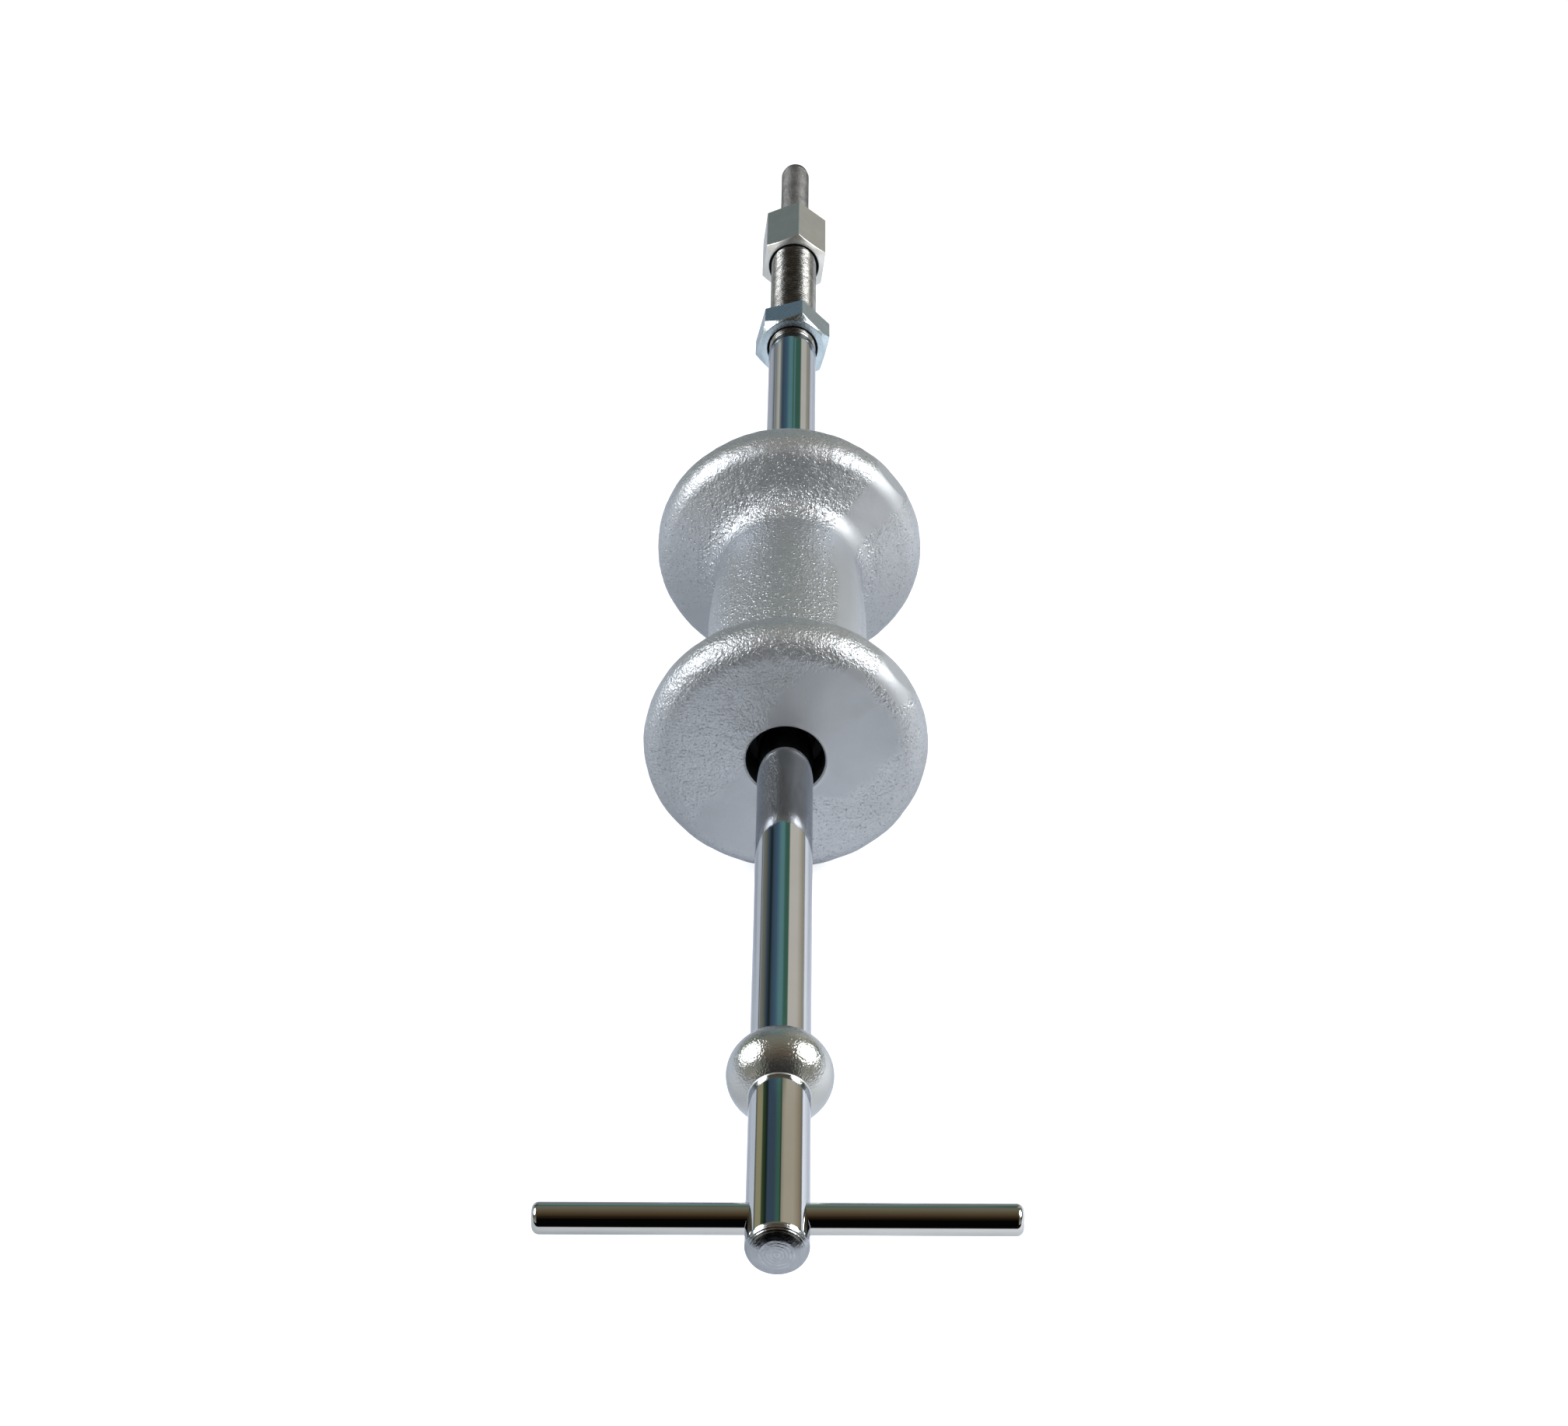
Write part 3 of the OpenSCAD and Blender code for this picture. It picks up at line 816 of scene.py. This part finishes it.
def add_world():
    """A workshop round the object, seen in the chrome, and white to the camera.

    It is banded ahead, brown above, black behind and pale at the sides.
    """
    world = bpy.data.worlds.new("room")
    world.use_nodes = True
    bpy.context.scene.world = world
    tree = world.node_tree
    coords = tree.nodes.new("ShaderNodeTexCoord")
    split = tree.nodes.new("ShaderNodeSeparateXYZ")
    tree.links.new(coords.outputs["Generated"], split.inputs[0])
    x, y, z = split.outputs

    def calc(operation, a, b=0.0):
        node = tree.nodes.new("ShaderNodeMath")
        node.operation = operation
        for socket, value in zip(node.inputs, (a, b)):
            if isinstance(value, (int, float)):
                socket.default_value = value
            else:
                tree.links.new(value, socket)
        return node.outputs[0]

    def turn(a, b):
        """The direction's turn from b towards a, from 0 to 1 with 0.5 at b."""
        return calc("ADD", calc("DIVIDE", calc("ARCTAN2", a, b), 2 * math.pi), 0.5)

    def fade(a, b, low, high, along=y):
        """From a to b as the direction turns from low to high along an axis."""
        blend = tree.nodes.new("ShaderNodeMapRange")
        blend.interpolation_type = "SMOOTHSTEP"
        blend.inputs["From Min"].default_value = low
        blend.inputs["From Max"].default_value = high
        tree.links.new(along, blend.inputs["Value"])
        node = tree.nodes.new("ShaderNodeMix")
        node.data_type = "RGBA"
        tree.links.new(blend.outputs["Result"], node.inputs["Factor"])
        tree.links.new(a, node.inputs[6])
        tree.links.new(b, node.inputs[7])
        return node.outputs[2]

    # The far wall's upright bands, from left to right, turned in degrees from straight up.
    # They spread apart towards its foot, so it is made in three heights.
    wall_top = ramp(tree, turn(x, z), [
        (-180, SHEET), (-96, SHEET_EDGE), (-90, DUSK), (-85, OLIVE), (-65, OLIVE), (-60, MOSS), (-44, PINE),
        (-38, SLATE), (-14, SLATE), (-5, FERN), (5, FERN), (8, PINE), (12, KHAKI), (22, SAND), (55, SAND),
        (82, CLAY), (91, DUSK), (97, SHEET_EDGE), (180, SHEET)])
    wall_middle = ramp(tree, turn(x, z), [
        (-180, SHEET), (-94, SHEET_EDGE), (-86, STEEL), (-72, DUSK), (-60, SLATE), (-47, PINE),
        (-38, SLATE), (-22, DENIM), (-8, TEAL), (2, TEAL), (10, FERN), (23, FERN), (27, CREAM), (60, CREAM),
        (78, SAND), (86, KHAKI), (94, SHEET_EDGE), (180, SHEET)])
    wall_foot = ramp(tree, turn(x, z), [
        (-180, SHEET), (-96, SHEET_EDGE), (-84, STEEL), (-62, CREAM), (-54, STEEL), (-44, SLATE),
        (-22, DENIM), (-10, TEAL), (2, TEAL), (9, FERN), (14, TEAL), (21, FERN), (42, FERN), (48, CREAM),
        (70, CREAM), (82, KHAKI), (92, SAND), (97, SHEET_EDGE), (180, SHEET)])
    # Overhead and behind the camera, turned in degrees from straight up towards the back
    backwards = turn(calc("MULTIPLY", y, -1.0), z)
    overhead = [(-180, SHEET), (-92, SHEET_EDGE), (-84, STEEL), (-60, FERN), (-45, DUSK), (-25, DUSK),
                (10, BARK)]
    back_middle = ramp(tree, backwards, overhead + [(38, SOOT), (58, BLACK), (180, BLACK)])
    back_corners = ramp(tree, backwards, overhead + [
        (38, DUSK), (62, STEEL), (86, SAND), (94, SHEET_EDGE), (180, SHEET)])
    back = fade(back_middle, back_corners, 0.45, 0.62, calc("ABSOLUTE", x))
    skirting = ramp(tree, turn(x, z), [(-180, SHEET), (-90, STEEL), (90, STEEL), (180, SHEET)])
    # The limits are the direction's y: 0 to the sides and overhead, 1 straight ahead
    upper_wall = fade(back, wall_top, 0.70, 0.765)
    lower_wall = fade(fade(upper_wall, wall_middle, 0.785, 0.80), wall_foot, 0.84, 0.865)
    room = fade(lower_wall, skirting, 0.895, 0.915)
    path = tree.nodes.new("ShaderNodeLightPath")
    seen = tree.nodes.new("ShaderNodeMix")
    seen.data_type = "RGBA"
    seen.inputs[7].default_value = (1, 1, 1, 1)
    tree.links.new(path.outputs["Is Camera Ray"], seen.inputs["Factor"])
    tree.links.new(room, seen.inputs[6])
    background = tree.nodes["Background"]
    tree.links.new(seen.outputs[2], background.inputs["Color"])
    background.inputs["Strength"].default_value = 1.0


def add_light(name, place, aim, width, height, watts, color):
    """An oval softbox that the camera doesn't see, with its width level."""
    data = bpy.data.lights.new(name, "AREA")
    data.shape = "ELLIPSE"
    data.size, data.size_y = width, height
    data.energy = watts
    data.color = color
    light = bpy.data.objects.new(name, data)
    bpy.context.scene.collection.objects.link(light)
    light.visible_camera = False
    forward = np.array(aim, float) - np.array(place, float)
    forward /= np.linalg.norm(forward)
    side = np.cross(forward, (0, 0, 1))
    side /= np.linalg.norm(side)
    up = np.cross(side, forward)
    m = Matrix.Identity(4)
    for row in range(3):
        m[row][0], m[row][1], m[row][2], m[row][3] = side[row], up[row], -forward[row], place[row]
    light.matrix_world = m


add_camera()
add_floor()
add_world()
LIGHTS_AIM = (0, -0.18, 0.05)
add_light("softbox_left", place=(-0.79, -0.10, 0.56), aim=LIGHTS_AIM, width=0.70, height=0.50, watts=9.0,
          color=(0.97, 0.985, 1.0))
add_light("softbox_right", place=(0.76, -0.14, 0.62), aim=LIGHTS_AIM, width=0.72, height=0.50, watts=11.0,
          color=(1.0, 0.995, 0.98))

chrome = chrome_material("chrome_rod_plating", tone=(0.55, 0.56, 0.575, 1.0), grain=0.0012, grain_size=2.2,
                         rough=0.02)
thread_steel = steel_material("thread_steel", dark=(0.22, 0.22, 0.215, 1.0), light=(0.36, 0.36, 0.355, 1.0),
                              rough=0.21, grain=0.06, stretch=(0.35, 2.2, 0.35))
turned_end = turned_end_material()
neck_steel = steel_material("neck_steel", dark=(0.18, 0.18, 0.17, 1.0), light=(0.26, 0.26, 0.25, 1.0),
                            rough=0.3, grain=0.02)
make_rod(chrome, turned_end, neck_steel)
make_thread("slide_rod_thread", crest=7.9, depth=0.84, pitch=THREAD_PITCH, start=THREAD_Y + THREAD_NECK,
            end=ROD_END, tip=1.2, bare=0.0, body="puller_rod", replaced=("slide_rod",),
            material=thread_steel)

collar_chrome = chrome_material("chrome_collar_plating", tone=(0.52, 0.53, 0.53, 1.0), grain=0.12,
                                grain_size=0.5, rough=0.15, metallic=0.92)
# The collar's near fillet: a lighter, rougher satin, its lighter colour a painted highlight line.
collar_fillet_highlight = steel_material("chrome_collar_fillet_highlight", dark=(0.62, 0.63, 0.64, 1.0),
                              light=(0.70, 0.71, 0.72, 1.0), rough=0.42, grain=0.02)
make_collar(collar_chrome, collar_fillet_highlight)

make_bar(chrome_material("chrome_bar_plating", tone=(0.56, 0.56, 0.55, 1.0), grain=0.0012, grain_size=2.5,
                         rough=0.02, scratch=(0.06, 1.0, 1.0)))

black = bush_black_and_hole_shade_material()
make_weight(casting_material(), black)
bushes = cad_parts["guide_bushes"]
bushes.data.materials.clear()
bushes.data.materials.append(black)

zinc = steel_material("zinc_plated", dark=(0.49, 0.58, 0.65, 1.0), light=(0.55, 0.64, 0.70, 1.0),
                      rough=0.22, grain=0.05)
make_hex("lock_nut_hexagon", af=22.8, near=NUT_Y, length=NUT_L, bevel_l=2.1, bevel_deg=40, turn_deg=15,
         edge=0.18, bore=7.95, mouth=0.75, depth=NUT_L, far_mouth=0.0, body="lock_nut",
         replaced=("lock_nut",), material=zinc, hole_shade_material=black)

satin = steel_material("satin_steel", dark=(0.66, 0.66, 0.65, 1.0), light=(0.72, 0.72, 0.71, 1.0),
                       rough=0.33, grain=0.03)
make_hex("hex_adapter_hexagon", af=21.0, near=ADAPTER_Y, length=ADAPTER_L, bevel_l=1.7, bevel_deg=30,
         turn_deg=8, edge=0.2, bore=7.95, mouth=0.95, depth=16.0, far_mouth=5.4, body="hex_adapter",
         replaced=("hex_adapter",), material=satin, hole_shade_material=black)

stud_steel = steel_material("stud_steel", dark=(0.12, 0.12, 0.12, 1.0), light=(0.19, 0.19, 0.187, 1.0),
                            rough=0.5, grain=0.12)
STUD_INSIDE = 9.0               # how far the thread starts inside the adapter
make_thread("adapter_stud_thread", crest=5.0, depth=0.55, pitch=1.0,
            start=ADAPTER_Y + ADAPTER_L - STUD_INSIDE, end=STUD_TIP, tip=1.6, bare=STUD_INSIDE + 0.6,
            body="hex_adapter", replaced=("adapter_stud",), material=stud_steel)
